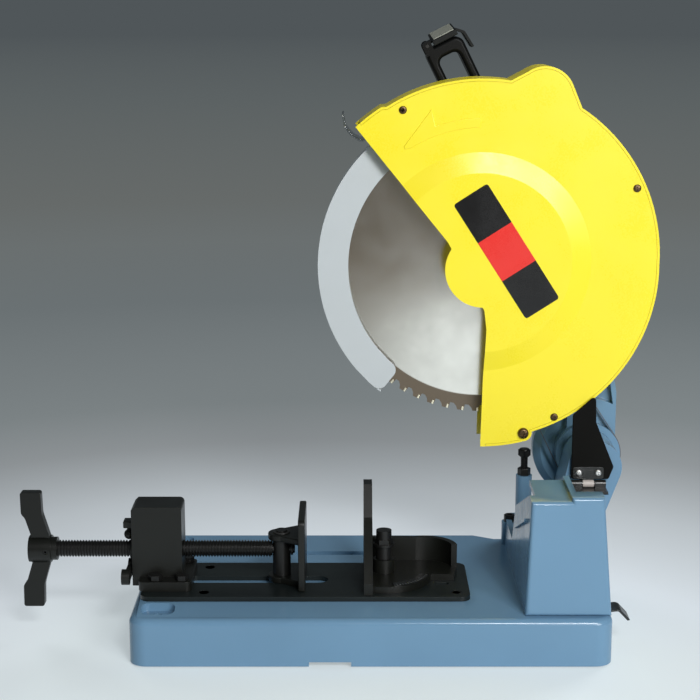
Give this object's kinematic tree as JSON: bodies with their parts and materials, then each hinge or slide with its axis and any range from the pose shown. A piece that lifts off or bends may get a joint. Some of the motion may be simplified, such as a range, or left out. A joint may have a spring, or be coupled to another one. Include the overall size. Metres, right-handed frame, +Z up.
{
  "type": "metal cut-off saw",
  "caption": "Bench chop saw for cutting metal bar: swinging motor head with guarded toothed blade, quick-release vise with swivelling jaw, mitre fence and chip drawer on a cast base.",
  "frame": {"origin": "middle of the saw's footprint, on the floor", "axes": "+X from the vise handle to the head pivot, +Y from the front to the motor, +Z up"},
  "size_m": [0.6616, 0.42, 0.6201],
  "materials": {
    "blue_paint": "satin",
    "yellow_paint": "gloss",
    "black_paint": "satin",
    "black_plastic": "matte",
    "bright_steel": "brushed",
    "zinc": "satin",
    "spring_steel": "satin",
    "bearing_steel": "polished",
    "carbide": "ground",
    "bronze": "satin",
    "core_iron": "matte",
    "rubber": "matte",
    "clear": "gloss"
  },
  "bodies": {
    "base": {"base_casting": "blue_paint", "rubber_feet": "rubber", "pedestal": "blue_paint", "pedestal_bolts": "black_paint", "stop_bolt": "black_paint", "stop_nut": "black_paint", "pivot_shaft": "bright_steel", "pivot_nut": "zinc", "bed_plate": "black_paint", "bed_plate_screws": "zinc", "vise_housing": "black_paint", "vise_housing_bolts": "zinc", "fence_bolt": "zinc", "flap_leaf": "zinc", "flap_pin": "bright_steel"},
    "drawer": {"chip_drawer": "bright_steel", "drawer_strap": "black_paint"},
    "flap": {"chip_flap": "black_paint"},
    "jaw_carriage": {"jaw_post": "bright_steel"},
    "vise_screw": {"vise_screw": "bright_steel", "screw_clip": "zinc", "tee_handle": "black_paint", "tee_pin": "bright_steel"},
    "vise_jaw": {"vise_jaw": "black_paint"},
    "half_nut": {"half_nut": "bright_steel"},
    "release_lever": {"release_lever": "black_paint"},
    "fence": {"fence": "black_paint"},
    "head": {"arm": "blue_paint", "pivot_bushes": "bronze", "gear_cover": "blue_paint", "motor_housing": "black_plastic", "end_cap": "black_plastic", "stator": "core_iron", "brush_caps": "black_plastic", "cable_inlet": "black_plastic", "motor_bearings": "bearing_steel", "spindle_bearings": "bearing_steel", "handle_front": "black_plastic", "handle_rear": "black_plastic", "lever_pin": "zinc", "guard_shell": "yellow_paint", "guard_cover": "yellow_paint", "guard_screws": "zinc", "cover_screws": "zinc", "chip_shield": "clear", "guard_band": "spring_steel", "return_spring": "spring_steel"},
    "lower_guard": {"lower_guard": "bright_steel"},
    "blade": {"blade": "bright_steel", "blade_tips": "carbide", "spindle": "bright_steel", "inner_flange": "bright_steel", "outer_flange": "bright_steel", "arbor_bolt": "zinc", "driven_gear": "bright_steel"},
    "armature": {"armature": "bright_steel", "motor_fan": "black_plastic"},
    "switch_lever": {"switch_lever": "black_plastic"}
  },
  "joints": [
    {"name": "drawer_slide", "type": "slide", "parent": "base", "child": "drawer", "axis": [1, 0, 0], "range_m": [0, 0.1]},
    {"name": "flap_hinge", "type": "hinge", "parent": "base", "child": "flap", "pos_m": [0.263, -0.056, 0.145], "axis": [1, 0, 0], "range_deg": [0, 60]},
    {"name": "jaw_slide", "type": "slide", "parent": "base", "child": "jaw_carriage", "axis": [-1, 0, 0], "range_m": [-0.059, 0.074]},
    {"name": "screw_spin", "type": "hinge", "parent": "jaw_carriage", "child": "vise_screw", "pos_m": [-0.062, -0.119, 0.094], "axis": [1, 0, 0], "continuous": true},
    {"name": "jaw_swivel", "type": "hinge", "parent": "jaw_carriage", "child": "vise_jaw", "pos_m": [-0.062, -0.119, 0.094], "axis": [0, 0, 1], "range_deg": [0, 45]},
    {"name": "half_nut_drop", "type": "slide", "parent": "base", "child": "half_nut", "axis": [0, 0, -1], "range_m": [0, 0.005]},
    {"name": "release_turn", "type": "hinge", "parent": "base", "child": "release_lever", "pos_m": [-0.215, -0.119, 0.074], "axis": [1, 0, 0], "range_deg": [0, 35]},
    {"name": "fence_swivel", "type": "hinge", "parent": "base", "child": "fence", "pos_m": [0.044, -0.112, 0.06], "axis": [0, 0, 1], "range_deg": [0, 45]},
    {"name": "head_swing", "type": "hinge", "parent": "base", "child": "head", "pos_m": [0.271, 0, 0.16], "axis": [0, -1, 0], "range_deg": [0, 51], "stiffness_Nm_per_rad": 34, "springref_deg": -42.97, "deforming": ["return_spring"]},
    {"name": "lower_guard_turn", "type": "hinge", "parent": "head", "child": "lower_guard", "pos_m": [0.1476, 0, 0.376], "axis": [0, 1, 0], "range_deg": [0, 95.1]},
    {"name": "blade_spin", "type": "hinge", "parent": "head", "child": "blade", "pos_m": [0.1476, 0, 0.376], "axis": [0, 1, 0], "continuous": true},
    {"name": "armature_spin", "type": "hinge", "parent": "head", "child": "armature", "pos_m": [0.15889, 0, 0.44001], "axis": [0, 1, 0], "continuous": true},
    {"name": "switch_press", "type": "hinge", "parent": "head", "child": "switch_lever", "pos_m": [0.09288, 0.095, 0.60058], "axis": [0, 1, 0], "range_deg": [0, 5], "stiffness_Nm_per_rad": 0.4, "springref_deg": -17.19}
  ],
  "couplings": [
    {"joint": "lower_guard_turn", "follows": "head_swing", "ratio": 1.8632},
    {"joint": "armature_spin", "follows": "blade_spin", "ratio": -4.2},
    {"joint": "release_turn", "follows": "half_nut_drop", "rad_per_m": 122}
  ]
}
